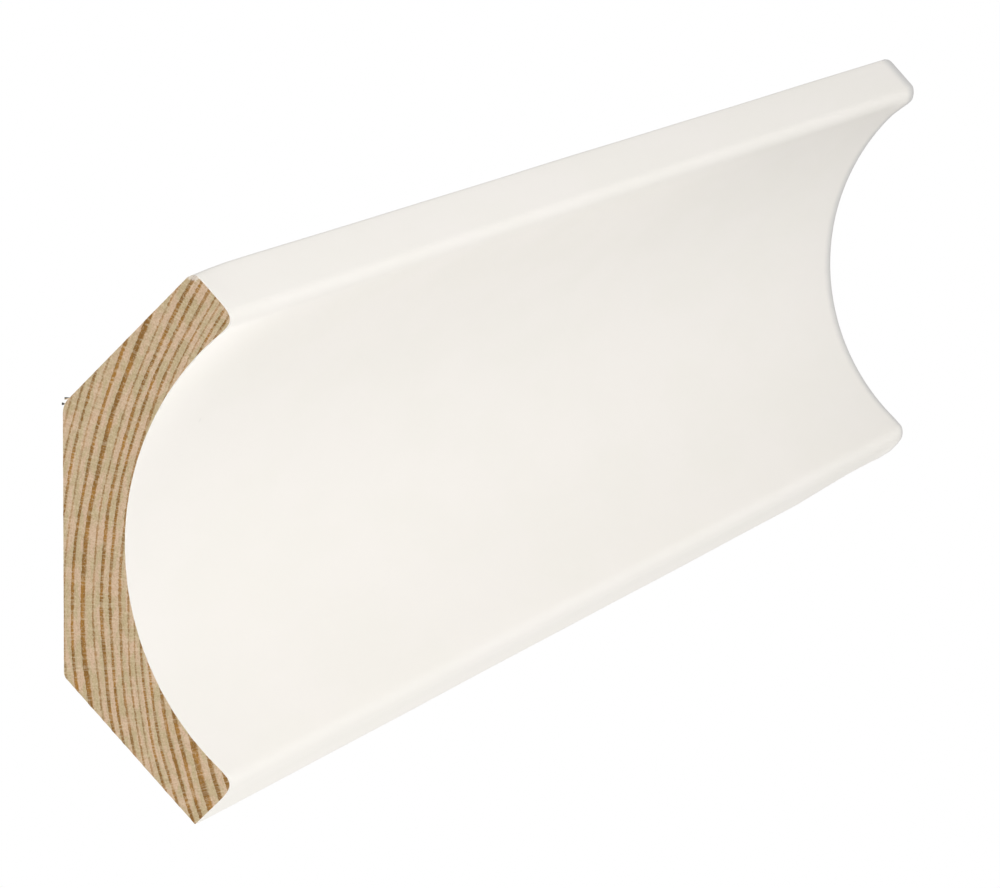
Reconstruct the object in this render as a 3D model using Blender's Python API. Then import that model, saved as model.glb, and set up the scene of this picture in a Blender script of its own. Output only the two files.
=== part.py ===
"""Cove moulding: one length of painted pine that covers the corner between a wall and a ceiling.

Metres, +Z up. X runs along the moulding. The wall stands behind it at +Y and the ceiling lies above it.
The origin is at the middle of the flat that goes against the wall.
"""
import math

import bmesh
import bpy
from mathutils import Vector

# Sizes of the section, in metres. "Leg" is what one side covers of the wall or of the ceiling.
LEG = 0.0400                # room corner to the lip, the same on the wall and on the ceiling
CORNER_RELIEF = 0.0197      # how much of each leg the flat across the hidden corner takes off
LIP_THICKNESS = 0.0068      # square-cut lip, from the wall to where the cove starts
COVE_THICKNESS = 0.0069     # wood left at the deepest point of the cove, measured on the diagonal
LIP_ROUNDING = 0.0015       # radius of the lip's corner towards the room
TIP_ROUNDING = 0.0004       # radius of the lip's corner that touches the wall or ceiling

# Size along the wall.
LENGTH = 0.2410

# How finely the round stretches are faceted.
COVE_FACETS = 48
LIP_FACETS = 6
TIP_FACETS = 3

# The room corner lies above the origin, which is at the middle of the flat on the wall.
CONTACT_FLAT = LEG - CORNER_RELIEF
ROOM_CORNER = Vector((0.0, LEG - CONTACT_FLAT / 2))


def clear_scene():
    """Remove whatever the scene holds."""
    for thing in list(bpy.data.objects):
        bpy.data.objects.remove(thing, do_unlink=True)


def cove_circle():
    """Distance of the cove's centre from wall and ceiling, and its radius.

    The circle passes through the two sharp lip corners and through the deepest point of the cove.
    """
    deepest = (CORNER_RELIEF / math.sqrt(2) + COVE_THICKNESS) / math.sqrt(2)
    along = LIP_THICKNESS ** 2 + LEG ** 2 - 2 * deepest ** 2
    centre = along / (2 * (LIP_THICKNESS + LEG - 2 * deepest))
    return centre, (centre - deepest) * math.sqrt(2)


def arc(centre, radius, start, end, facets):
    """Points along an arc, both ends included, the short way round."""
    turn = (end - start + math.pi) % (2 * math.pi) - math.pi
    angles = [start + turn * step / facets for step in range(facets + 1)]
    return [centre + radius * Vector((math.cos(a), math.sin(a))) for a in angles]


def direction(vector):
    """Angle of a vector, in radians."""
    return math.atan2(vector.y, vector.x)


def half_outline():
    """The wall leg's side of the outline, from the hidden corner to the middle of the cove.

    Written as (distance from the wall, distance below the ceiling). The ceiling leg is its mirror image.
    """
    offset, cove_radius = cove_circle()
    cove_centre = Vector((offset, offset))

    tip_centre = Vector((TIP_ROUNDING, LEG - TIP_ROUNDING))
    tip = arc(tip_centre, TIP_ROUNDING, math.pi, math.pi / 2, TIP_FACETS)

    # The lip's rounding touches the lip from inside and the cove's circle from outside.
    below = LEG - LIP_ROUNDING
    reach = cove_radius + LIP_ROUNDING
    lip_centre = Vector((offset - math.sqrt(reach ** 2 - (below - offset) ** 2), below))
    to_cove = cove_centre - lip_centre
    lip = arc(lip_centre, LIP_ROUNDING, math.pi / 2, direction(to_cove), LIP_FACETS)

    middle = math.radians(-135)
    cove = arc(cove_centre, cove_radius, direction(-to_cove), middle, COVE_FACETS // 2)
    return [Vector((0, CORNER_RELIEF))] + tip + lip + cove[1:]


def section_outline():
    """The whole closed outline as (Y, Z), the wall's face on Y = 0."""
    wall_side = half_outline()
    ceiling_side = [Vector((p.y, p.x)) for p in reversed(wall_side[:-1])]
    return [Vector((ROOM_CORNER.x - p.x, ROOM_CORNER.y - p.y)) for p in wall_side + ceiling_side]


def material(name, colour, roughness):
    """A Principled material with one colour."""
    finish = bpy.data.materials.new(name)
    finish.use_nodes = True
    shader = finish.node_tree.nodes["Principled BSDF"]
    shader.inputs["Base Color"].default_value = (*colour, 1.0)
    shader.inputs["Roughness"].default_value = roughness
    shader.inputs["Metallic"].default_value = 0.0
    return finish


def flat_outline(name, outline, thickness):
    """A filled 2D curve with the outline's points, as thick as asked, centred on its own plane."""
    curve = bpy.data.curves.new(name, "CURVE")
    curve.dimensions = "2D"
    curve.fill_mode = "BOTH"
    curve.extrude = thickness / 2
    spline = curve.splines.new("POLY")
    spline.points.add(len(outline) - 1)
    for point, place in zip(spline.points, outline):
        point.co = (place.x, place.y, 0.0, 1.0)
    spline.use_cyclic_u = True
    return bpy.data.objects.new(name, curve)


def as_mesh(curve_object, collection):
    """The curve as one closed mesh, its caps welded to its sides."""
    bpy.context.view_layer.update()
    evaluated = curve_object.evaluated_get(bpy.context.evaluated_depsgraph_get())
    mesh = bpy.data.meshes.new_from_object(evaluated)
    work = bmesh.new()
    work.from_mesh(mesh)
    bmesh.ops.remove_doubles(work, verts=work.verts, dist=1e-6)
    bmesh.ops.recalc_face_normals(work, faces=work.faces)
    work.to_mesh(mesh)
    work.free()

    name = curve_object.name
    place = curve_object.matrix_world.copy()
    curve = curve_object.data
    bpy.data.objects.remove(curve_object, do_unlink=True)
    bpy.data.curves.remove(curve)
    solid = bpy.data.objects.new(name, mesh)
    solid.matrix_world = place
    collection.objects.link(solid)
    return solid


def make_moulding(collection):
    """The moulding: its section drawn flat, given its length, and stood up so that it runs along X."""
    drawing = flat_outline("moulding", section_outline(), LENGTH)
    drawing.rotation_euler = (math.radians(90), 0, math.radians(90))
    collection.objects.link(drawing)
    moulding = as_mesh(drawing, collection)
    moulding.data.shade_smooth()
    moulding.data.set_sharp_from_angle(angle=math.radians(30))
    moulding.data.materials.clear()
    moulding.data.materials.append(material("painted_pine", (0.86, 0.84, 0.78), 0.42))
    return moulding


def main():
    clear_scene()
    collection = bpy.data.collections.new("cove_moulding")
    bpy.context.scene.collection.children.link(collection)
    make_moulding(collection)


main()
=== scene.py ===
# %% [markdown]
# # A short length of painted pine cove moulding
# A cove moulding is a strip of wood that hides the corner between a wall and a ceiling. The planer gives it
# two flats for the wall and the ceiling, two narrow lips, and a hollow between them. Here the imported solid
# is the fixed frame. One finer mesh takes its place, and carries the paint and the raw wood.

# %% Load the frame
import math
import bmesh
import bpy
from mathutils import Matrix, Vector, noise


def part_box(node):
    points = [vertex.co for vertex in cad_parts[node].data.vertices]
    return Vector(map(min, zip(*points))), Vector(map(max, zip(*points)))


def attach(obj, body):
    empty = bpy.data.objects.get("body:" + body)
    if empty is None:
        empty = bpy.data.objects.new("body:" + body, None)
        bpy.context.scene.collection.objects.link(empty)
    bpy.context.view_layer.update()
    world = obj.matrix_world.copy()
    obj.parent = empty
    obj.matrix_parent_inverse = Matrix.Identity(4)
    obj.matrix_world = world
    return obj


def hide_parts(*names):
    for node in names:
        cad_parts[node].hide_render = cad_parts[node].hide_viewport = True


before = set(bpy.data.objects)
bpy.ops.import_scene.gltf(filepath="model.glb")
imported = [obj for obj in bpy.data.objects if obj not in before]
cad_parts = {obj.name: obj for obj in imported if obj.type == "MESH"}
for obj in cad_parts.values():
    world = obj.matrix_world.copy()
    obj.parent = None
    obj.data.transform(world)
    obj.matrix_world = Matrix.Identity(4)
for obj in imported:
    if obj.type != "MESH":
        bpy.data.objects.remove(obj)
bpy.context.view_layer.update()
low, high = (Vector(corner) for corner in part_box("moulding"))
print("frame", [round(side * 1000, 2) for side in high - low], "mm")

# %% [markdown]
# ## Sizes
# Everything below is in millimetres until it becomes a mesh, because a moulding is read off in millimetres.
# The frame gives the length, the legs and where the room corner is. The rest is what the planer's cutter is
# set to.

# %% Sizes of the section
MM = 0.001
LENGTH = (high.x - low.x) / MM
LEG = (high.y - low.y) / MM
SAWN_END = low.x / MM
FAR_END = high.x / MM
WALL = high.y / MM
CEILING = high.z / MM

CORNER_RELIEF = 19.7
LIP_THICKNESS = 6.8
COVE_THICKNESS = 6.9
LIP_ROUNDING = 1.5
TIP_ROUNDING = 0.4
END_EASING = 1.2

deepest = (CORNER_RELIEF / math.sqrt(2) + COVE_THICKNESS) / math.sqrt(2)
COVE_CENTRE = (LIP_THICKNESS ** 2 + LEG ** 2 - 2 * deepest ** 2) / (2 * (LIP_THICKNESS + LEG - 2 * deepest))
COVE_RADIUS = (COVE_CENTRE - deepest) * math.sqrt(2)
print("cove radius", round(COVE_RADIUS, 2), "mm, centre", round(COVE_CENTRE, 2), "mm from wall and ceiling")


def in_room(from_wall, below_ceiling, along=0.0):
    """A point given by its distances from wall and ceiling, as (x, y, z) in metres."""
    return Vector((along, WALL - from_wall, CEILING - below_ceiling)) * MM


# %% [markdown]
# ## The camera
# A long lens stands on the room's side, a little below the sawn end, and looks along the moulding, rolled
# over by about 41 degrees, so that the flat across the hidden corner stands upright in the picture. Place,
# aim and roll come from fitting a pinhole camera to the outlines of the cut end, the two long edges and the
# far end.

# %% Camera
CAMERA_PLACE = Vector((-0.638370, -0.253289, -0.075206))
CAMERA_LOOK = Vector((0.924654, 0.358957, 0.127140))
CAMERA_RIGHT = Vector((0.349731, -0.668366, -0.656487))
LENS_MM = 206.352
SENSOR_MM = 36.0

look = CAMERA_LOOK.normalized()
right = (CAMERA_RIGHT - CAMERA_RIGHT.dot(look) * look).normalized()
up = right.cross(look)
turned = Matrix((right, up, -look)).transposed()

camera_data = bpy.data.cameras.new("camera")
camera_data.lens = LENS_MM
camera_data.sensor_width = SENSOR_MM
camera_data.clip_start = 0.01
camera = bpy.data.objects.new("camera", camera_data)
camera.matrix_world = Matrix.Translation(CAMERA_PLACE) @ turned.to_4x4()
bpy.context.scene.collection.objects.link(camera)
bpy.context.scene.camera = camera
print("camera", round((CAMERA_PLACE - in_room(20, 20, SAWN_END)).length, 3), "m from the sawn end")

# %% [markdown]
# ## Hand tools
# In the viewport an operator works on what is selected. These helpers select by place, as a hand would by
# eye.

# %% Selecting
def nothing_selected():
    """Leave edit mode and let go of every object."""
    if bpy.context.object and bpy.context.object.mode != "OBJECT":
        bpy.ops.object.mode_set(mode="OBJECT")
    bpy.ops.object.select_all(action="DESELECT")


def pick(kind, wanted):
    """Select the vertices, edges or faces in edit mode for which wanted(its points) is true."""
    piece = bpy.context.object
    bpy.ops.mesh.select_mode(type=kind)
    bpy.ops.mesh.select_all(action="DESELECT")
    work = bmesh.from_edit_mesh(piece.data)
    elements = {"VERT": work.verts, "EDGE": work.edges, "FACE": work.faces}[kind]
    count = 0
    for element in elements:
        corners = [element] if kind == "VERT" else element.verts
        if wanted([corner.co / MM for corner in corners]):
            element.select_set(True)
            count += 1
    work.select_flush_mode()
    bmesh.update_edit_mesh(piece.data)
    return count


def finish_modifier(piece, name, kind, **settings):
    """Add a modifier and apply it."""
    modifier = piece.modifiers.new(name, kind)
    for setting, value in settings.items():
        setattr(modifier, setting, value)
    nothing_selected()
    piece.select_set(True)
    bpy.context.view_layer.objects.active = piece
    bpy.ops.object.modifier_apply(modifier=modifier.name)


# %% [markdown]
# ## Drawing the section
# A joiner draws the section on the end of the board with a square and a pair of compasses, and the planer's
# cutter is ground to it. It could be cut from a block with a cylinder, but then the lips' rounding would
# have to bridge the cylinder's facets. Drawn as a line, every arc meets the next one exactly: a single
# point is extruded along the straight stretches and spun round each centre.

# %% Pencil and compasses
def start_line(name, from_wall, below_ceiling):
    """A single vertex on the sawn end, in edit mode."""
    nothing_selected()
    bpy.ops.mesh.primitive_plane_add(size=MM, location=in_room(from_wall, below_ceiling, SAWN_END))
    bpy.context.object.name = name
    bpy.ops.object.transform_apply(location=True)
    bpy.ops.object.mode_set(mode="EDIT")
    bpy.ops.mesh.select_all(action="SELECT")
    bpy.ops.mesh.merge(type="CENTER")
    bpy.ops.mesh.select_mode(type="VERT")
    return bpy.context.object


def pencil():
    """Where the line's selected end is, as (from wall, below ceiling) in millimetres."""
    work = bmesh.from_edit_mesh(bpy.context.object.data)
    point = next(v.co for v in work.verts if v.select) / MM
    return WALL - point.y, CEILING - point.z


def line_to(from_wall, below_ceiling):
    """Draw a straight line from the pencil's place."""
    here = pencil()
    step = in_room(from_wall, below_ceiling) - in_room(*here)
    bpy.ops.mesh.extrude_vertices_move(TRANSFORM_OT_translate={"value": step})


def arc_to(centre, degrees, steps):
    """Draw an arc about a centre; a positive angle turns from the wall towards the ceiling's far lip."""
    middle = in_room(*centre, SAWN_END)
    bpy.ops.mesh.spin(steps=steps, angle=math.radians(degrees), center=middle, axis=(1, 0, 0))


# %% [markdown]
# The line starts at the hidden corner's lower end, runs down the wall's flat, out along the lip, round the
# lip's corner and through the cove, then back along the ceiling's side, which is the mirror image.

# %% Draw the section
COVE_STEPS = 96
LIP_STEPS = 10

lip_height = LEG - LIP_ROUNDING
reach = COVE_RADIUS + LIP_ROUNDING
lip_depth = COVE_CENTRE - math.sqrt(reach ** 2 - (lip_height - COVE_CENTRE) ** 2)
lean = math.degrees(math.atan2(lip_height - COVE_CENTRE, COVE_CENTRE - lip_depth))
lip_turn = 90 + lean
cove_turn = 90 + 2 * lean

moulding = start_line("painted_moulding", 0, CORNER_RELIEF)
line_to(0, LEG)
line_to(lip_depth, LEG)
arc_to((lip_depth, lip_height), lip_turn, LIP_STEPS)
arc_to((COVE_CENTRE, COVE_CENTRE), -cove_turn, COVE_STEPS)
arc_to((lip_height, lip_depth), lip_turn, LIP_STEPS)
line_to(LEG, 0)
line_to(CORNER_RELIEF, 0)
bpy.ops.mesh.select_all(action="SELECT")
bpy.ops.mesh.edge_face_add()
print("the lip turns", round(lip_turn, 2), "degrees and the cove", round(cove_turn, 2))

# %% [markdown]
# ## From section to strip
# Pushing the filled section along its normal is what the planer does, one cut the full length of the board.

# %% Run the section along
bpy.ops.mesh.extrude_region_move(TRANSFORM_OT_translate={"value": (LENGTH * MM, 0, 0)})
bpy.ops.mesh.select_all(action="SELECT")
bpy.ops.mesh.normals_make_consistent(inside=False)
print("strip", len(bmesh.from_edit_mesh(moulding.data).faces), "faces")

# %% [markdown]
# ## Eased edges
# The far end was sanded before it was painted, so its edges are round, while the sawn end is crisp. The
# lips' corners against the wall and ceiling and the lower hidden corner are only just broken, and the upper
# one, which was torn, a little more. One Bevel does all of them at once, with a weight on each edge that
# says how much of its width the edge gets, so that they meet in a closed corner.

# %% Weigh the edges and bevel them
CLOSE = 0.01
WALL_TIP = 0.25
CEILING_TIP = 0.40
HIDDEN_CORNER = 0.30
TORN_CORNER = 0.80
LONG_CORNERS = [
    # from wall, below ceiling, radius
    (0, LEG, WALL_TIP),
    (LEG, 0, CEILING_TIP),
    (0, CORNER_RELIEF, HIDDEN_CORNER),
    (CORNER_RELIEF, 0, TORN_CORNER),
]


def along_corner(from_wall, below_ceiling):
    """A test for the long edge that runs through a point of the section."""
    corner = in_room(from_wall, below_ceiling) / MM

    def wanted(points):
        return all(abs(p.y - corner.y) < CLOSE and abs(p.z - corner.z) < CLOSE for p in points)
    return wanted


for from_wall, below_ceiling, radius in LONG_CORNERS:
    pick("EDGE", along_corner(from_wall, below_ceiling))
    bpy.ops.transform.edge_bevelweight(value=radius / END_EASING)
rim = pick("EDGE", lambda points: all(abs(p.x - FAR_END) < CLOSE for p in points))
bpy.ops.transform.edge_bevelweight(value=1.0)
finish_modifier(moulding, "easing", "BEVEL", limit_method="WEIGHT", width=END_EASING * MM, segments=6,
                use_clamp_overlap=False, miter_outer="MITER_SHARP")
bpy.ops.object.mode_set(mode="EDIT")
pick("FACE", lambda points: all(p.x > FAR_END - CLOSE for p in points))
bpy.ops.mesh.quads_convert_to_tris(quad_method="BEAUTY", ngon_method="BEAUTY")
print("eased", rim, "edges of the far end;", len(moulding.data.polygons), "faces")

# %% [markdown]
# ## A surface that isn't dead flat
# Planed and painted wood rises and falls by a few hundredths of a millimetre along its length, and that is
# what breaks up a highlight. The strip is cut across at even steps, closer together by the sanded end, and
# each point is moved along its normal by slow waves. The same pass draws the far end's easing out
# lengthwise, wears the lips' corners there or thickens them where paint built up, leaves that end's face
# two degrees out of square, and takes the wall's flat back a little towards its tip, where the board was
# scant. The lips get a few cuts along their length first, so that their corners can be rubbed round.

# %% Cut across
STATIONS = 60
FIRST_STATION = 0.8
SANDED = 9.0
SANDED_STATIONS = 9
BLUNT_WIDTH = 1.0
LIP_CUTS = (1.3, 2.6, 3.9)

nothing_selected()
moulding.select_set(True)
bpy.context.view_layer.objects.active = moulding
bpy.ops.object.mode_set(mode="EDIT")
even = LENGTH - FIRST_STATION - SANDED
places = [SAWN_END + FIRST_STATION + even * i / STATIONS for i in range(STATIONS)]
places += [FAR_END - SANDED + (SANDED - END_EASING) * i / SANDED_STATIONS for i in range(SANDED_STATIONS)]
for along in places:
    bpy.ops.mesh.select_all(action="SELECT")
    bpy.ops.mesh.bisect(plane_co=(along * MM, 0, 0), plane_no=(1, 0, 0))
beside_tip = in_room(LEG - BLUNT_WIDTH, BLUNT_WIDTH)
pick("FACE", lambda points: all(abs(CEILING - p.z) < CLOSE for p in points))
bpy.ops.mesh.bisect(plane_co=beside_tip, plane_no=(0, 1, 0))
pick("FACE", lambda points: all(abs(WALL - LEG - p.y) < CLOSE for p in points))
bpy.ops.mesh.bisect(plane_co=beside_tip, plane_no=(0, 0, 1))
for from_wall in LIP_CUTS:
    pick("FACE", lambda points: all(p.z < CEILING - LEG + END_EASING + CLOSE for p in points))
    bpy.ops.mesh.bisect(plane_co=in_room(from_wall, 0), plane_no=(0, 1, 0))
nothing_selected()
print("strip now", len(moulding.data.polygons), "faces")

# %% Waves and wear
# A wave has two lengths, along the strip and across it, each in millimetres a radian.
WAVE_HEIGHT = 0.035
LONG_WAVE = (17.0, 9.0)
SHORT_WAVE = (7.3, 6.0)
SHORT_SHARE = 0.6
OUT_OF_SQUARE = 1.0
LEAN_REACH = 60.0
SCANT = 0.25
SCANT_FROM = CORNER_RELIEF + 2
SCANT_ACROSS = LIP_THICKNESS - 1
EASING_DRAWN_OUT = 2.8
EASING_REACH = 12.0
WORN = [
    # corner, reach, depth (negative where paint built up), starts, fully worn
    ((LEG, 0), 1.0, 0.35, SAWN_END + 7, SAWN_END),
    ((LEG, LIP_THICKNESS), 2.0, 0.72, FAR_END - 6, FAR_END),
    ((LEG - 2, LIP_THICKNESS), 3.0, -0.28, FAR_END - 12, FAR_END - 5),
    ((LIP_THICKNESS, LEG), 3.0, 0.50, FAR_END - 6, FAR_END),
    ((0, LEG), 5.0, 0.55, FAR_END - 40, FAR_END - 15),
    ((LIP_CUTS[1], LEG), 3.4, -0.42, FAR_END - 5, FAR_END - 2),
]
WALL_LIP = (LIP_THICKNESS / 2, LEG - LIP_THICKNESS / 2)
CEILING_LIP = (LEG - LIP_THICKNESS / 2, LIP_THICKNESS / 2)


def ramp_up(value, start, end):
    """0 before the start, 1 after the end, straight between them; start and end may be swapped."""
    return min(1.0, max(0.0, (value - start) / (end - start)))


def drawn_out(back):
    """Distance back from the far end, once the easing there is made longer."""
    eased = END_EASING * EASING_DRAWN_OUT
    if back < END_EASING:
        return back * EASING_DRAWN_OUT
    return max(back, eased + (back - END_EASING) * (EASING_REACH - eased) / (EASING_REACH - END_EASING))


normals = [vertex.normal.copy() for vertex in moulding.data.vertices]
for vertex, normal in zip(moulding.data.vertices, normals):
    place = vertex.co / MM
    from_wall, below_ceiling = WALL - place.y, CEILING - place.z
    normal.x = 0
    normal.normalize()
    slow = math.sin(place.x / LONG_WAVE[0] + place.y / LONG_WAVE[1])
    slow += SHORT_SHARE * math.sin(place.x / SHORT_WAVE[0] - place.z / SHORT_WAVE[1] + 2)
    calm = 1 - ramp_up(place.x, FAR_END - EASING_REACH, FAR_END - END_EASING)
    vertex.co += normal * slow * calm * WAVE_HEIGHT / 2 * MM

    back = drawn_out(FAR_END - place.x)
    lean = (from_wall - below_ceiling) / LEG * OUT_OF_SQUARE
    lean *= ramp_up(place.x, FAR_END - LEAN_REACH, FAR_END - EASING_REACH)
    vertex.co.x = (FAR_END - back + lean) * MM

    scant = ramp_up(below_ceiling, SCANT_FROM, LEG) * (1 - ramp_up(from_wall, 0, SCANT_ACROSS))
    vertex.co.y -= scant * SCANT * MM
    for corner, reach, depth, starts, worn in WORN:
        near = 1 - ramp_up(math.hypot(from_wall - corner[0], below_ceiling - corner[1]), 0, reach)
        lip = WALL_LIP if corner[1] == LEG else CEILING_LIP
        inwards = (in_room(*lip) - in_room(*corner)).normalized()
        vertex.co += inwards * depth * near * ramp_up(FAR_END - back, starts, worn) * MM
print("length now", round(max(vertex.co.x for vertex in moulding.data.vertices) / MM - SAWN_END, 2), "mm")

# %% [markdown]
# ## The tree
# Growth rings are cylinders round the pith. The pith of this tree lay outside the board, on the room's
# side, and the year's pale early wood ends in a hard brown line of late wood, sharp on its bark side. Each
# year is written down as the distance of its outer edge from the pith, the width of its late wood, and how
# dark that is. The cut end, the flats and the relief of the sawn face all read the same years.

# %% Years of growth
PITH = (52.98, 62.88)
ARC_AT = 60.0
YEARS = [
    # edge, late wood, strength
    (51.30, 0.30, 0.75),
    (52.85, 0.42, 0.92),
    (54.12, 0.46, 0.95),
    (55.68, 0.66, 1.00),
    (56.86, 0.40, 0.92),
    (57.84, 0.35, 0.82),
    (58.86, 0.28, 0.72),
    (59.66, 0.28, 0.78),
    (60.35, 0.18, 0.48),
    (61.06, 0.20, 0.60),
    (62.00, 0.30, 0.62),
    (63.02, 0.30, 0.74),
    (63.93, 0.35, 0.90),
    (64.76, 0.20, 0.55),
    (66.04, 0.46, 1.00),
    (67.14, 0.32, 0.86),
    (68.04, 0.20, 0.45),
    (68.90, 0.26, 0.74),
    (69.72, 0.22, 0.60),
    (70.46, 0.18, 0.40),
    (71.60, 0.25, 0.55),
]
CORE = 50.0
BARK = YEARS[-1][0]
ONSET = 0.4
WIDE_STRAY = 0.10
FINE_STRAY = 0.04


def wander(arc, radius, sine):
    """How far a ring strays from its circle. It works on numbers and on shader sockets alike."""
    wide = WIDE_STRAY * sine(arc / 5.3 + radius * 0.6)
    return wide + FINE_STRAY * sine(arc / 1.7 + radius * 0.9 + 1.0)


def late_wood(from_wall, below_ceiling):
    """Strength of the late wood at a point of the section, 0 to 1."""
    across, down = PITH[0] - from_wall, PITH[1] - below_ceiling
    radius = math.hypot(across, down)
    radius += wander(math.atan2(down, across) * ARC_AT, radius, math.sin)
    for edge, width, strength in YEARS:
        if radius < edge:
            start = edge - width
            return strength * min(1.0, (radius - start) / (ONSET * width)) if radius > start else 0.0
    return 0.0


print(len(YEARS), "years, the mean ring", round((BARK - CORE) / len(YEARS), 2), "mm")

# %% [markdown]
# ## The saw cut
# A saw tears the soft early wood out a little deeper than the hard late wood, so the rings stand as fine
# ridges. The cut is made with a tool: a block whose face is a fine grid with that relief in it. Subtracting
# the block leaves the relief, and it breaks the outline exactly where the fibres end.

# %% Make the saw's face
TOOTH = 0.16
SOFT_DEPTH = 0.05
KERF_DEPTH = 0.03
FUZZ = 0.035
FIBRES_PER_MM = 2.6
MARGIN = 1.5
SAW_THICKNESS = 2.0

tool_width = (LEG + LIP_THICKNESS - CORNER_RELIEF) / math.sqrt(2) + 2 * MARGIN
tool_height = LEG * math.sqrt(2) + 2 * MARGIN
middle = (CORNER_RELIEF + LEG + LIP_THICKNESS) / 4

nothing_selected()
bpy.ops.mesh.primitive_grid_add(
    x_subdivisions=round(tool_width / TOOTH), y_subdivisions=round(tool_height / TOOTH), size=1,
    location=in_room(middle, middle, SAWN_END),
    rotation=(math.radians(90), math.radians(-45), math.radians(90)))
saw = bpy.context.object
saw.name = "saw"
saw.scale = (tool_width * MM, tool_height * MM, 1)
bpy.ops.object.transform_apply(location=True, rotation=True, scale=True)
for vertex in saw.data.vertices:
    from_wall, below_ceiling = WALL - vertex.co.y / MM, CEILING - vertex.co.z / MM
    fibre = noise.noise(Vector((from_wall * FIBRES_PER_MM, below_ceiling * FIBRES_PER_MM, 1.5)))
    depth = KERF_DEPTH + SOFT_DEPTH * (1 - late_wood(from_wall, below_ceiling)) + FUZZ * fibre
    vertex.co.x += depth * MM
print("saw face", len(saw.data.polygons), "teeth")

# %% Cut with it
bpy.ops.object.mode_set(mode="EDIT")
bpy.ops.mesh.select_all(action="SELECT")
bpy.ops.mesh.extrude_region_move(TRANSFORM_OT_translate={"value": (-SAW_THICKNESS * MM, 0, 0)})
bpy.ops.mesh.select_all(action="SELECT")
bpy.ops.mesh.normals_make_consistent(inside=False)
nothing_selected()
finish_modifier(moulding, "saw cut", "BOOLEAN", operation="DIFFERENCE", solver="EXACT", object=saw)
bpy.data.objects.remove(saw, do_unlink=True)
print("after the cut", len(moulding.data.polygons), "faces")

# %% [markdown]
# ## Torn fibres
# Where the blade left the wood, at the corner of the ceiling flat and the flat across the hidden corner, it
# tore a few fibres out instead of cutting them. They are tufts under a millimetre long, wider at the loose
# end, where they hold dirt. Small cones joined into the wood by a Boolean union make them.

# %% Slivers at the corner
SLIVER_SIDES = 7
SLIVER_ROOT = 0.04
SLIVER_END = 0.14
SLIVER_SUNK = 0.1
SLIVER_BACK = 0.2
SLIVER_FORWARDS = 0.25
SLIT = 0.001
SMOOTH_BELOW = 30
SLIVERS = [
    # from wall, below ceiling, leaning, length
    (20.8, 0.10, -8, 0.74),
    (20.0, 0.23, 2, 0.58),
]

nothing_selected()
parts = []
for from_wall, below_ceiling, leaning, length in SLIVERS:
    turn = math.radians(45 + leaning)
    aim = Vector((-SLIVER_FORWARDS, math.cos(turn), math.sin(turn))).normalized()
    root = in_room(from_wall, below_ceiling, SAWN_END + SLIVER_BACK)
    halfway = root + aim * (length / 2 - SLIVER_SUNK) * MM
    bpy.ops.mesh.primitive_cone_add(
        vertices=SLIVER_SIDES, radius1=SLIVER_ROOT * MM, radius2=SLIVER_END * MM, depth=length * MM,
        location=halfway, rotation=aim.to_track_quat("Z", "Y").to_euler())
    bpy.ops.object.transform_apply(location=True, rotation=True, scale=True)
    parts.append(bpy.context.object)
for part in parts:
    part.select_set(True)
bpy.ops.object.join()
torn = bpy.context.object
finish_modifier(moulding, "torn fibres", "BOOLEAN", operation="UNION", solver="EXACT", object=torn)
bpy.data.objects.remove(torn, do_unlink=True)
bpy.ops.object.mode_set(mode="EDIT")
bpy.ops.mesh.select_all(action="SELECT")
bpy.ops.mesh.remove_doubles(threshold=SLIT * MM)
nothing_selected()
moulding.select_set(True)
bpy.ops.object.shade_smooth_by_angle(angle=math.radians(SMOOTH_BELOW))
print(len(SLIVERS), "slivers joined,", len(moulding.data.polygons), "faces in all")

# %% [markdown]
# ## Writing a material
# A node material is a recipe: every node is one step, and wires carry numbers and colours between the
# steps. These two small classes let the numbers be written as sums, so that `1 - mask` adds a Math node by
# itself.

# %% Wires and recipes
class Wire:
    """One output of a shader node; arithmetic on it adds Math nodes."""

    def __init__(self, recipe, socket):
        self.recipe = recipe
        self.socket = socket

    def math(self, operation, *others):
        """Add a Math node that starts from this wire."""
        return self.recipe.math(operation, self, *others)

    def other(self, name):
        """Another output of the same node."""
        return Wire(self.recipe, self.socket.node.outputs[name])

    def __add__(self, value):
        return self.math("ADD", value)

    def __radd__(self, value):
        return self.math("ADD", value)

    def __sub__(self, value):
        return self.math("SUBTRACT", value)

    def __rsub__(self, value):
        return self.recipe.math("SUBTRACT", value, self)

    def __mul__(self, value):
        return self.math("MULTIPLY", value)

    def __rmul__(self, value):
        return self.math("MULTIPLY", value)

    def __truediv__(self, value):
        return self.math("DIVIDE", value)

    def __rtruediv__(self, value):
        return self.recipe.math("DIVIDE", value, self)

    def __lt__(self, value):
        return self.math("LESS_THAN", value)


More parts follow.
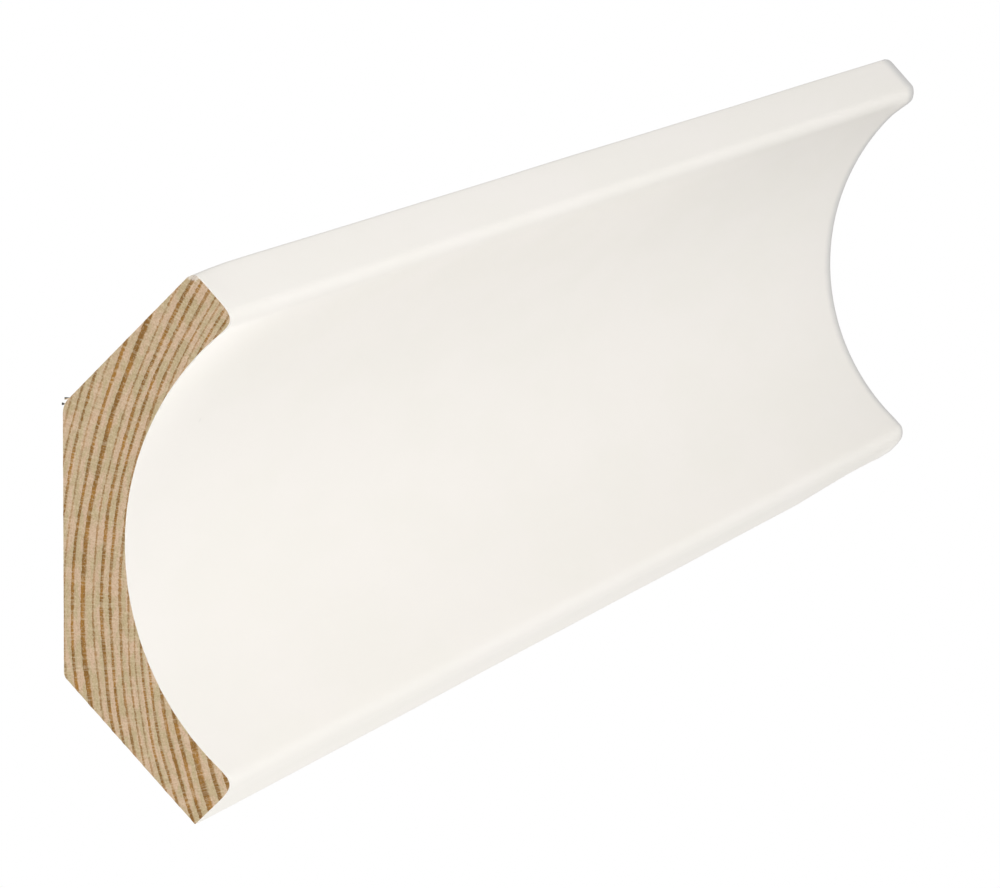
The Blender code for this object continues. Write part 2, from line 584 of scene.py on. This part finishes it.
class Recipe:
    """A node tree being written."""

    def __init__(self, tree):
        self.tree = tree

    def node(self, kind, settings=None, sockets=None, out=0):
        """Add a node: its settings first, then values or wires for its sockets. Gives one output."""
        node = self.tree.nodes.new(kind)
        for name, value in (settings or {}).items():
            if name == "stops":
                self.fill_ramp(node.color_ramp, value)
            elif name == "ramp":
                node.color_ramp.interpolation = value
            else:
                setattr(node, name, value)
        for name, value in (sockets or {}).items():
            if isinstance(value, Wire):
                self.tree.links.new(value.socket, node.inputs[name])
            else:
                node.inputs[name].default_value = value
        return Wire(self, node.outputs[out])

    def fill_ramp(self, ramp, stops):
        """Give a colour ramp its stops, each a position and a colour."""
        while len(ramp.elements) < len(stops):
            ramp.elements.new(1.0)
        for element, (position, colour) in zip(ramp.elements, stops):
            element.position = position
            element.color = colour

    def math(self, operation, *values):
        """Add a Math node on values or wires."""
        return self.node("ShaderNodeMath", {"operation": operation}, dict(enumerate(values)))

    def blend(self, factor, first, second, how="MIX"):
        """Mix two colours, or lay the second over the first in another way."""
        settings = {"data_type": "RGBA", "blend_type": how}
        return self.node("ShaderNodeMix", settings, {0: factor, 6: first, 7: second}, out=2)

    def vector(self, x, y, z):
        """Put three values or wires together as a vector."""
        return self.node("ShaderNodeCombineXYZ", None, {"X": x, "Y": y, "Z": z})

    def noise(self, vector, detail=2.0, roughness=0.5):
        """Fractal noise, 0 to 1 and about 0.5 in the mean, one blob per unit of the vector."""
        sockets = {"Vector": vector, "Scale": 1.0, "Detail": detail, "Roughness": roughness}
        return self.node("ShaderNodeTexNoise", None, sockets)

    def between(self, value, low_end, high_end):
        """0 below the low end, 1 above the high end, and smooth between them."""
        sockets = {"Value": value, "From Min": low_end, "From Max": high_end}
        return self.node("ShaderNodeMapRange", {"interpolation_type": "SMOOTHSTEP"}, sockets)

    def in_millimetres(self):
        """Three wires: along the moulding, distance from the wall and distance below the ceiling."""
        place = self.node("ShaderNodeTexCoord", out="Object")
        x = self.node("ShaderNodeSeparateXYZ", None, {"Vector": place})
        return x / MM, WALL - x.other("Y") / MM, CEILING - x.other("Z") / MM


def new_material(name, constants):
    """A Principled material whose own sockets have these values. Gives it, its recipe and its shader."""
    material = bpy.data.materials.new(name)
    material.use_nodes = True
    shader = material.node_tree.nodes["Principled BSDF"]
    for socket, value in constants.items():
        shader.inputs[socket].default_value = value
    return material, Recipe(material.node_tree), shader


def sine(wire):
    """Sine of a wire, in radians."""
    return wire.math("SINE")


# %% [markdown]
# ## Satin paint
# The room side was sprayed with a warm white water-based paint. It is not a perfect film: it has the fine
# orange peel of a spray gun, and the wood's grain shows through as long, very shallow streaks. One grain of
# dust dried into the cove near the sawn end. The sanded far end is painted greyer, as painted shade on its
# edges.
# The gloss is between matt and shiny, so lights turn into wide soft patches.

# %% Paint
NIB = (-106.65, 23.94, 8.55)
PAINT = (0.887, 0.855, 0.812, 1)
SHADED_PAINT = (0.875, 0.847, 0.798, 1)
DUSTY_PAINT = (0.600, 0.590, 0.560, 1)
# painted shade: a grey that stands in for the shade on the far end's eased edges
PAINTED_FAR_SHADE = (0.670, 0.660, 0.645, 1)
FAR_SHADE_FROM = FAR_END - 5.0
FAR_SHADE_TO = FAR_END - 1.5
NIB_SIZE = (0.10, 0.40)
NIB_DUST = 0.2
PEEL_DEPTH = 0.008
PAINT_ROUGHNESS = 0.36

paint, recipe, shader = new_material("satin_paint", {"IOR": 1.48})
along, from_wall, below_ceiling = recipe.in_millimetres()
peel = recipe.noise(recipe.vector(along * 0.55, from_wall * 0.8, below_ceiling * 0.8), detail=3.0)
streaks = recipe.noise(recipe.vector(along * 0.03, from_wall * 1.1, below_ceiling * 1.1), detail=3.0)
clouds = recipe.noise(recipe.vector(along * 0.04, from_wall * 0.12, below_ceiling * 0.12), detail=2.0)
colour = recipe.blend(recipe.between(clouds, 0.35, 0.65), PAINT, SHADED_PAINT)
here = recipe.vector(along, from_wall, below_ceiling)
from_nib = recipe.node("ShaderNodeVectorMath", {"operation": "DISTANCE"}, {0: here, 1: NIB}, "Value")
nib = 1 - recipe.between(from_nib, *NIB_SIZE)
colour = recipe.blend(nib * NIB_DUST, colour, DUSTY_PAINT)
# painted shade: the far end's eased edges and face are coloured greyer, where they turn away from the light
far_shade_mask = recipe.between(along + peel, FAR_SHADE_FROM, FAR_SHADE_TO)
colour = recipe.blend(far_shade_mask, colour, PAINTED_FAR_SHADE)
height = peel * 0.6 + streaks * 0.5 + nib * 3
relief = {"Strength": 1.0, "Distance": PEEL_DEPTH * MM, "Height": height}
bump = recipe.node("ShaderNodeBump", None, relief, "Normal")
recipe.tree.links.new(colour.socket, shader.inputs["Base Color"])
roughness = PAINT_ROUGHNESS + peel * 0.05 + clouds * 0.05
recipe.tree.links.new(roughness.socket, shader.inputs["Roughness"])
recipe.tree.links.new(bump.socket, shader.inputs["Normal"])
print("paint has", len(recipe.tree.nodes), "nodes")

# %% [markdown]
# ## Bare pine
# The rings are counted from the pith: one ramp turns the radius into a year number, and a second ramp says
# how wide and how dark that year's late wood is. Because the pattern is solid, the rings on the cut end run
# on as straight grain along the flats, as in a real board. Over it come rays, which are thin light lines
# that point at the pith, and the pores and fibres, which are dots on the end and streaks along the flats.

# %% Growth rings
GRAIN_SLOPE = 0.011
SWAY = 0.3
SWAY_LENGTH = 29
TWIST = 0.12
FRAY = 0.26
LATE_SPREAD = 1.18
LATE_ONSET = 0.35

pine, recipe, shader = new_material("bare_pine", {"IOR": 1.45, "Specular IOR Level": 0.3})
along, from_wall, below_ceiling = recipe.in_millimetres()
run = along - SAWN_END
across = PITH[0] - from_wall
down = PITH[1] - below_ceiling
arc = down.math("ARCTAN2", across) * ARC_AT
radius = (across * across + down * down).math("SQRT") + run * GRAIN_SLOPE + SWAY * sine(run / SWAY_LENGTH)
radius = radius + wander(arc + run * TWIST, radius, sine)
frayed = recipe.noise(recipe.vector(arc * 3.2, radius * 3.2, run * 0.15), detail=2.0)
ragged = radius + (frayed - 0.5) * FRAY

count = len(YEARS)
spread = BARK - CORE
spot = (ragged.math("WRAP", BARK, CORE) - CORE) / spread
numbers = [(0.0, (0, 0, 0, 1))]
numbers += [((year[0] - CORE) / spread, ((i + 1) / count,) * 3 + (1,)) for i, year in enumerate(YEARS)]
number = recipe.node("ShaderNodeValToRGB", {"stops": numbers}, {"Fac": spot}) * count
starts = [CORE] + [year[0] for year in YEARS]
habits = []
for i, (edge, width, darkness) in enumerate(YEARS):
    habits.append((i / count, (width / (edge - starts[i]), darkness, 0, 1)))
habit = recipe.node("ShaderNodeValToRGB", {"stops": habits, "ramp": "CONSTANT"},
                    {"Fac": (number.math("FLOOR") + 0.5) / count})
share = recipe.node("ShaderNodeSeparateColor", None, {"Color": habit}, "Red")
grown = number.math("FRACT")
into_late = (grown - (1 - share * LATE_SPREAD)) / (share * LATE_ONSET)
late = into_late.math("MINIMUM", 1.0).math("MAXIMUM", 0.0) * share.other("Green")
print("rings written with", len(recipe.tree.nodes), "nodes")

# %% Rays, fibres and colour
OLIVE_WOOD = (0.520, 0.408, 0.240, 1)
PINK_WOOD = (0.622, 0.444, 0.304, 1)
LATE_WOOD = (0.222, 0.104, 0.016, 1)
LATE_ORANGE = (0.345, 0.163, 0.026, 1)
DARK_PORE = (0.330, 0.235, 0.120, 1)
RAY = (0.780, 0.662, 0.470, 1)
PLANED_WOOD = (0.780, 0.620, 0.400, 1)
END_GRAIN_DEPTH = 0.4
RAY_WIDTH = (0.010, 0.050)
FAINTEST = 0.62
ON_FLATS = 0.65
PLANED_SHARE = 0.45

patches = recipe.noise(recipe.vector(arc * 0.45, radius * 1.1, run * 0.02), detail=3.0)
thinning = recipe.noise(recipe.vector(arc * 0.7, radius * 1.6, run * 0.03), detail=2.0)
pores = recipe.noise(recipe.vector(arc * 5.0, radius * 5.0, run * 0.20), detail=2.0, roughness=0.7)
ray_field = recipe.noise(recipe.vector(arc * 3.0, radius * 0.22, run * 0.35), detail=1.0)
rays = 1 - recipe.between((ray_field - 0.5).math("ABSOLUTE"), *RAY_WIDTH)
end_grain = along < SAWN_END + END_GRAIN_DEPTH

strength = late * (FAINTEST + (1 - FAINTEST) * recipe.between(thinning, 0.30, 0.52))
strength = strength * (ON_FLATS + (1 - ON_FLATS) * end_grain)
strength = strength * (1.25 - rays * 0.30) + 0.12 * grown * end_grain
colour = recipe.blend(recipe.between(patches, 0.40, 0.60), OLIVE_WOOD, PINK_WOOD)
colour = recipe.blend(PLANED_SHARE * (1 - end_grain), colour, PLANED_WOOD)
colour = recipe.blend(recipe.between(pores, 0.48, 0.68) * (0.25 + 0.27 * end_grain), colour, DARK_PORE)
late_colour = recipe.blend(recipe.between(patches, 0.38, 0.66), LATE_WOOD, LATE_ORANGE)
colour = recipe.blend(strength.math("MINIMUM", 1.0), colour, late_colour)
colour = recipe.blend(recipe.between(pores, 0.46, 0.30) * 0.38 * end_grain, colour, RAY)
colour = recipe.blend(rays * (0.14 * end_grain + 0.04), colour, RAY)
print("with rays and fibres", len(recipe.tree.nodes), "nodes")

# %% [markdown]
# ## Where the paint ends
# Seen on the cut end, the paint is a pale line a tenth of a millimetre thick along the cove and the lips.
# On the flats for wall and ceiling it ran a little way round the lips' corners, in an uneven edge. At the
# ceiling lip's blunt tip it wrapped over onto the cut end.

# %% Paint on the bare pine
FILM = 0.10
GRAIN_DEPTH = 0.03
OVERRUN = 2.4
SPILL_EDGE = (-0.15, 0.10)
BLOB = (0.85, 1.10)
BLOB_COVER = 0.5
WOOD_ROUGHNESS = 0.72

cove_side = from_wall - COVE_CENTRE
cove_down = (below_ceiling - COVE_CENTRE).math("POWER", 2.0)
cove_depth = ((cove_side * cove_side) + cove_down).math("SQRT") - COVE_RADIUS
lip_side = (LEG - from_wall).math("MINIMUM", LEG - below_ceiling)
film = 1 - recipe.between(cove_depth.math("SMOOTH_MIN", lip_side, 2 * LIP_ROUNDING), FILM * 0.7, FILM * 1.3)
edge_noise = recipe.noise(recipe.vector(run * 0.13, from_wall * 0.08, below_ceiling * 0.08), detail=4.0)
overrun = TIP_ROUNDING + OVERRUN * recipe.between(edge_noise, 0.42, 0.85)
spill = (1 - recipe.between(lip_side - overrun, *SPILL_EDGE)) * (1 - end_grain)
to_tip = ((LEG - from_wall).math("POWER", 2.0) + below_ceiling.math("POWER", 2.0)).math("SQRT")
blob = 1 - recipe.between(to_tip + (pores - 0.5) * 0.6, *BLOB)
painted = (film * end_grain + blob * BLOB_COVER + spill).math("MINIMUM", 1.0)
colour = recipe.blend(painted, colour, PAINT)
height = late * 0.5 + pores * 0.9
relief = {"Strength": 1.0, "Distance": GRAIN_DEPTH * MM, "Height": height}
bump = recipe.node("ShaderNodeBump", None, relief, "Normal")
recipe.tree.links.new(colour.socket, shader.inputs["Base Color"])
roughness = WOOD_ROUGHNESS - late * 0.12 - painted * 0.3
recipe.tree.links.new(roughness.socket, shader.inputs["Roughness"])
recipe.tree.links.new(bump.socket, shader.inputs["Normal"])
print("pine has", len(recipe.tree.nodes), "nodes")

# %% [markdown]
# ## Dirt on the torn fibres
# The tufts are pale where they leave the wood and nearly black at their loose ends, because loose fibres
# pick up dust from hands and shelves. The dirt grows with the distance from a point just inside the torn
# corner.

# %% Dirt on the torn fibres
FRAYED_WOOD = (0.720, 0.680, 0.600, 1)
GRIME = (0.040, 0.036, 0.032, 1)
INSIDE = (20.4, 0.8)
CLEAN_ROOT = 0.80
DIRTY_END = 0.98

tuft, recipe, shader = new_material("torn_fibre", {"Roughness": 0.9})
along, from_wall, below_ceiling = recipe.in_millimetres()
across, deep = from_wall - INSIDE[0], below_ceiling - INSIDE[1]
grime = recipe.between((across * across + deep * deep).math("SQRT"), CLEAN_ROOT, DIRTY_END)
speckle = recipe.noise(recipe.vector(along * 5, from_wall * 5, below_ceiling * 5))
colour = recipe.blend(grime * (0.8 + 0.4 * speckle), FRAYED_WOOD, GRIME)
recipe.tree.links.new(colour.socket, shader.inputs["Base Color"])
print("torn fibre has", len(recipe.tree.nodes), "nodes")

# %% [markdown]
# ## Giving the faces their finish
# The flats that touch the wall and the ceiling, the flat across the hidden corner with the two corners
# beside it, and the sawn end stay bare. What stands out of the section at the torn corner is torn fibre.
# All else is painted. Each face knows which by the way it looks and by its place.

# %% Assign by normal
ROUNDING_SHARE = 0.2
FLAT_ENOUGH = 0.985
TOWARDS_CORNER = 0.1
TOWARDS_FAR_END = 0.2
TOWARDS_SAWN_END = -0.3
TUFT_REACH = 1.0
CLEARLY_OUT = 0.05
BARE_SIDES = [Vector((0, 1, 0)), Vector((0, 0, 1))]


def beyond_outline(from_wall, below_ceiling):
    """How far a point near the torn corner lies outside the section, in millimetres."""
    from_ceiling = -below_ceiling
    from_hidden = (CORNER_RELIEF - from_wall - below_ceiling) / math.sqrt(2)
    from_bisector = (from_ceiling + from_hidden) / (2 * math.cos(math.radians(22.5)))
    from_rounding = from_bisector + TORN_CORNER * ROUNDING_SHARE
    return max(from_ceiling, from_hidden, from_rounding)


moulding.data.materials.clear()
moulding.data.materials.append(paint)
moulding.data.materials.append(pine)
moulding.data.materials.append(tuft)
bare = 0
for face in moulding.data.polygons:
    looks = face.normal
    flat = any(looks.dot(side) > FLAT_ENOUGH for side in BARE_SIDES)
    hidden = min(looks.y, looks.z) > TOWARDS_CORNER and looks.x < TOWARDS_FAR_END
    cut = looks.x < TOWARDS_SAWN_END
    place = face.center / MM
    out = beyond_outline(WALL - place.y, CEILING - place.z)
    loose = place.x < SAWN_END + TUFT_REACH and out > CLEARLY_OUT
    face.material_index = 2 if loose else 1 if flat or hidden or cut else 0
    bare += face.material_index > 0
print(bare, "bare faces of", len(moulding.data.polygons))

# %% [markdown]
# ## Studio
# The photo is a cut-out on pure white with very soft light. Part of it comes from all round, as in a white
# tent, and is in the world: brighter from in front and above, and weak from behind, so that edges which
# turn away go grey. Five soft boxes stand round the moulding, three of them nearer the cut end, so that the
# light falls off towards the far end. The camera itself sees plain white.

# %% Floor
FLOOR_BELOW = 1.0
FLOOR_SIZE = 12

nothing_selected()
bpy.ops.mesh.primitive_plane_add(size=FLOOR_SIZE, location=(0, 0, -FLOOR_BELOW))
floor = bpy.context.object
floor.name = "studio_floor"
floor_paint, recipe, shader = new_material("floor_white", {"Roughness": 0.9})
speckle = recipe.noise(recipe.vector(*(wire * 0.02 for wire in recipe.in_millimetres())))
tone = recipe.blend(speckle, (0.86, 0.86, 0.85, 1), (0.88, 0.88, 0.87, 1))
recipe.tree.links.new(tone.socket, shader.inputs["Base Color"])
floor.data.materials.append(floor_paint)
print("floor", FLOOR_BELOW, "m below the wall flat")

# %% A white tent
BEHIND = 0.15
FRONT_HIGH = 1.03

world = bpy.data.worlds.new("studio")
bpy.context.scene.world = world
world.use_nodes = True
recipe = Recipe(world.node_tree)
aim = recipe.node("ShaderNodeTexCoord", out="Generated")
ahead = recipe.node("ShaderNodeVectorMath", {"operation": "DOT_PRODUCT"}, {0: aim, 1: look}, "Value")
behind = 0.5 + 0.5 * ahead
above = 0.5 + 0.5 * recipe.node("ShaderNodeSeparateXYZ", None, {"Vector": aim}, "Z")
tent = behind * BEHIND + (1 - behind) * above * FRONT_HIGH
seen = recipe.node("ShaderNodeLightPath", out="Is Camera Ray")
backdrop = world.node_tree.nodes["Background"]
backdrop.inputs["Color"].default_value = (1, 1, 1, 1)
recipe.tree.links.new((seen + (1 - seen) * tent).socket, backdrop.inputs["Strength"])
print("tent written with", len(recipe.tree.nodes), "nodes")


# %% Soft boxes
def soft_box(name, sideways, upwards, nearer, size, power, along=0.0):
    """A square light aimed at the moulding. Its place is an offset in metres, as the camera sees it."""
    light = bpy.data.lights.new(name, "AREA")
    light.shape = "SQUARE"
    light.size = size
    light.energy = power
    aim = in_room(LEG / 2, LEG / 2, along)
    lamp = bpy.data.objects.new(name, light)
    lamp.location = aim + right * sideways + up * upwards - look * nearer
    lamp.rotation_euler = (lamp.location - aim).to_track_quat("Z", "Y").to_euler()
    bpy.context.scene.collection.objects.link(lamp)
    return lamp


soft_box("overhead", 0.30, 0.80, 0.20, 0.6, 2.54)
soft_box("by_the_cut_end", 0.50, 0.40, 0.35, 0.4, 1.53, along=-160)
soft_box("room_side_low", 0.70, -0.50, 0.30, 0.6, 3.79, along=-60)
soft_box("low_left", -0.50, -0.50, 0.60, 0.6, 3.14, along=-60)
soft_box("under_the_wall_side", -0.30, -0.80, 0.10, 0.5, 3.30)
bpy.context.scene.view_settings.view_transform = "Standard"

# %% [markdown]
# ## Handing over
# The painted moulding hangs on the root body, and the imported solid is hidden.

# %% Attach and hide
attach(moulding, "root")
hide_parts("moulding")
